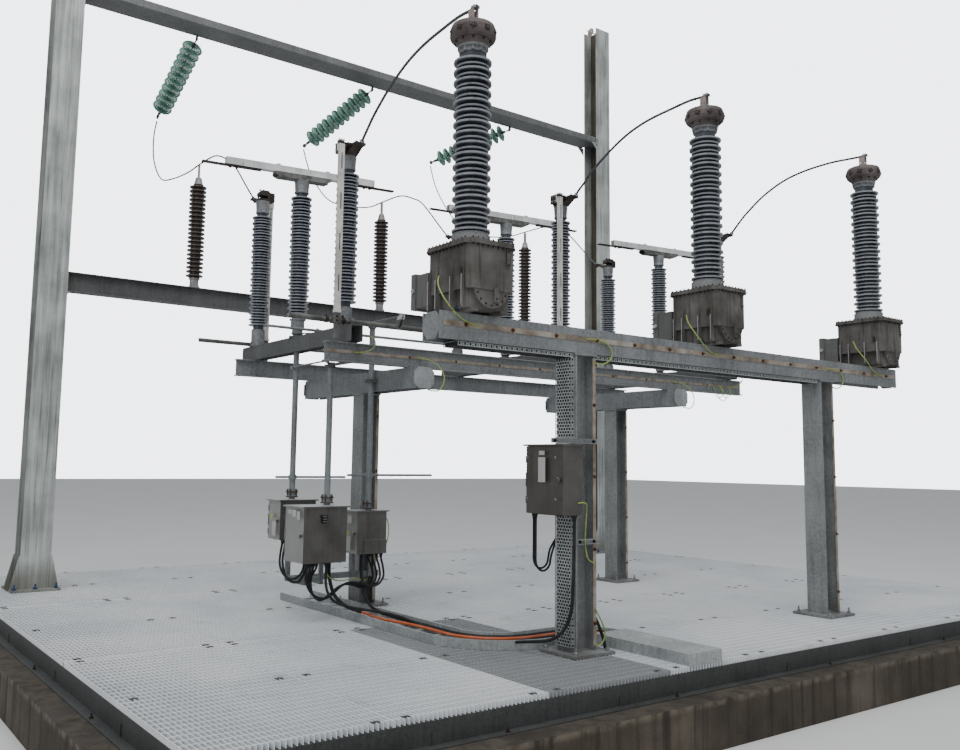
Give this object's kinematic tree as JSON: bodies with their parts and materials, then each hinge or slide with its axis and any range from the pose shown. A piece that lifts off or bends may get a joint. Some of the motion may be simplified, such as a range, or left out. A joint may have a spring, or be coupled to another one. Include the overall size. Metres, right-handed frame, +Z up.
{
  "type": "substation switchgear bay",
  "caption": "Outdoor switchgear bay on a grated deck: landing gantry with arresters, centre-turning disconnector with earthing switches and drives, and current transformers on a beam.",
  "frame": {"origin": "centre of the plinth's underside, on the ground", "axes": "+X along the row of phases to the right, +Y to the back where the gantry stands, +Z up"},
  "size_m": [11.54, 9.38, 10.557],
  "materials": {
    "concrete": "rough cast, stained",
    "galvanised": "dull zinc",
    "grating_zinc": "bright zinc",
    "weathered_zinc": "dark, mottled zinc",
    "porcelain_grey": "blue-grey glaze",
    "porcelain_brown": "brown glaze",
    "glass_green": "clear, toughened",
    "contact_copper": "dark oxide",
    "blade_aluminium": "satin",
    "earth_aluminium": "dull, pale",
    "conductor": "weathered strand",
    "tank_grey": "grey-brown, dirty",
    "box_steel": "satin stainless",
    "drive_zinc": "dull zinc",
    "jacket_black": "matt",
    "jacket_orange": "matt"
  },
  "bodies": {
    "structure": {"plinth": "concrete", "deck_frame": "galvanised", "deck_grating": "grating_zinc", "gantry_column_left": "galvanised", "gantry_column_right": "galvanised", "gantry_top_beam": "galvanised", "gantry_lower_beam": "weathered_zinc", "shield_wire_insulator": "porcelain_brown", "strain_strings": "glass_green", "surge_arresters": "porcelain_brown", "dropper_a": "conductor", "dropper_b": "conductor", "dropper_c": "conductor", "disconnector_posts": "galvanised", "crossarms": "galvanised", "disconnector_beams": "galvanised", "switch_bases": "weathered_zinc", "contact_posts": "porcelain_grey", "contact_jaws": "contact_copper", "rotor_bearings": "galvanised", "earth_shaft_bearings": "weathered_zinc", "pipe_guides": "weathered_zinc", "cabinet_supports": "galvanised", "main_cabinet": "box_steel", "earth_cabinet": "box_steel", "manual_cabinet": "box_steel", "ct_posts": "galvanised", "ct_beam": "galvanised", "ct_tanks": "tank_grey", "ct_insulators": "porcelain_grey", "ct_heads": "tank_grey", "jumper_a": "conductor", "jumper_b": "conductor", "jumper_c": "conductor", "junction_box": "box_steel", "riser_tray": "galvanised", "cable_ladder": "galvanised", "cable_tray_cover": "galvanised", "cable_orange": "jacket_orange", "cable_black": "jacket_black"},
    "rotor_a": {"rotor_a": "porcelain_grey", "main_blade_a": "blade_aluminium", "drive_pipe_main": "drive_zinc"},
    "rotor_b": {"rotor_b": "porcelain_grey", "main_blade_b": "blade_aluminium"},
    "rotor_c": {"rotor_c": "porcelain_grey", "main_blade_c": "blade_aluminium"},
    "gang_rod": {"gang_rod": "drive_zinc"},
    "motor_pipe": {"motor_pipe": "drive_zinc"},
    "motor_link": {"motor_link": "drive_zinc"},
    "earth_near": {"earth_switch_near": "earth_aluminium"},
    "earth_far": {"earth_switch_far": "earth_aluminium"},
    "earth_pipe": {"earth_pipe_near": "drive_zinc"},
    "earth_link": {"earth_link": "drive_zinc"},
    "main_door": {"main_cabinet_door": "box_steel"},
    "earth_door": {"earth_cabinet_door": "box_steel"},
    "manual_door": {"manual_cabinet_door": "box_steel"},
    "junction_door": {"junction_box_door": "box_steel"}
  },
  "joints": [
    {"name": "rotor_a_turn", "type": "hinge", "parent": "structure", "child": "rotor_a", "pos_m": [-2.87, -0.115, 3.54], "axis": [0, 0, 1], "range_deg": [-81.6, 0]},
    {"name": "rotor_b_turn", "type": "hinge", "parent": "structure", "child": "rotor_b", "pos_m": [0.13, -0.115, 3.54], "axis": [0, 0, 1], "range_deg": [-81.6, 0]},
    {"name": "rotor_c_turn", "type": "hinge", "parent": "structure", "child": "rotor_c", "pos_m": [3.13, -0.115, 3.54], "axis": [0, 0, 1], "range_deg": [-81.6, 0]},
    {"name": "gang_pin", "type": "hinge", "parent": "rotor_a", "child": "gang_rod", "pos_m": [-2.71255, -0.29613, 3.616], "axis": [0, 0, 1], "range_deg": [0, 81.6]},
    {"name": "motor_pipe_turn", "type": "hinge", "parent": "structure", "child": "motor_pipe", "pos_m": [-2.89, -0.965, 2.5], "axis": [0, 0, 1], "range_deg": [-81.6, 0]},
    {"name": "motor_link_pin", "type": "hinge", "parent": "rotor_a", "child": "motor_link", "pos_m": [-2.95302, -0.18717, 3.199], "axis": [0, 0, 1], "range_deg": [0, 81.6]},
    {"name": "earth_near_swing", "type": "hinge", "parent": "structure", "child": "earth_near", "pos_m": [0, -1.335, 3.58], "axis": [-1, 0, 0], "range_deg": [0, 80]},
    {"name": "earth_pipe_turn", "type": "hinge", "parent": "structure", "child": "earth_pipe", "pos_m": [-2.21, -0.645, 2.5], "axis": [0, 0, 1], "range_deg": [-80, 0]},
    {"name": "earth_link_pin", "type": "hinge", "parent": "earth_near", "child": "earth_link", "pos_m": [-2.31725, -1.425, 3.687], "axis": [-1, 0, 0], "range_deg": [-80, 0]},
    {"name": "earth_far_swing", "type": "hinge", "parent": "structure", "child": "earth_far", "pos_m": [0, 1.105, 3.58], "axis": [1, 0, 0], "range_deg": [0, 80]},
    {"name": "main_door_swing", "type": "hinge", "parent": "structure", "child": "main_door", "pos_m": [-3.2583, -0.785, 1.443], "axis": [0, 0, -1], "range_deg": [0, 110]},
    {"name": "earth_door_swing", "type": "hinge", "parent": "structure", "child": "earth_door", "pos_m": [-2.3783, -0.455, 1.405], "axis": [0, 0, -1], "range_deg": [0, 110]},
    {"name": "manual_door_swing", "type": "hinge", "parent": "structure", "child": "manual_door", "pos_m": [-3.1033, -0.04, 1.538], "axis": [0, 0, -1], "range_deg": [0, 110]},
    {"name": "junction_door_swing", "type": "hinge", "parent": "structure", "child": "junction_door", "pos_m": [-2.1608, -3.245, 2.038], "axis": [0, 0, -1], "range_deg": [0, 110]}
  ],
  "couplings": [
    {"joint": "rotor_b_turn", "follows": "rotor_a_turn", "ratio": 1},
    {"joint": "rotor_c_turn", "follows": "rotor_a_turn", "ratio": 1},
    {"joint": "gang_pin", "follows": "rotor_a_turn", "ratio": -1},
    {"joint": "motor_pipe_turn", "follows": "rotor_a_turn", "ratio": 1},
    {"joint": "motor_link_pin", "follows": "rotor_a_turn", "ratio": -1},
    {"joint": "earth_pipe_turn", "follows": "earth_near_swing", "ratio": -1},
    {"joint": "earth_link_pin", "follows": "earth_near_swing", "ratio": -1}
  ]
}
